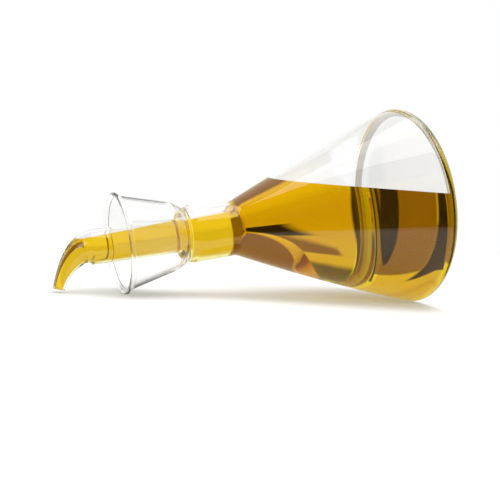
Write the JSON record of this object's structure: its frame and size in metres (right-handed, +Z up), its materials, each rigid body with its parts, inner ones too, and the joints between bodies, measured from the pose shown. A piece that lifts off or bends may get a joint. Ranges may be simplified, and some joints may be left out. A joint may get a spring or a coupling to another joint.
{
  "type": "oil dispenser",
  "caption": "Clear glass oil cruet with a cone-shaped flask, drip-catching funnel and bent spout, lying on its side as it pours, filled with golden olive oil.",
  "frame": {"origin": "On the floor, under the middle of the bounding box of the cruet as it lies.", "axes": "+Z up. The axis of the bottle lies in the XZ plane: the base of the flask faces +X and the spout points to -X, leaning about 10 degrees down, with its mouth turned down."},
  "size_m": [0.1996, 0.105, 0.1034],
  "materials": {
    "clear_glass": "clear, smooth, fire-polished borosilicate glass",
    "olive_oil": "clear golden olive oil with a level, glossy surface"
  },
  "bodies": {
    "root": {"glass": "clear_glass", "oil": "olive_oil"}
  },
  "joints": []
}
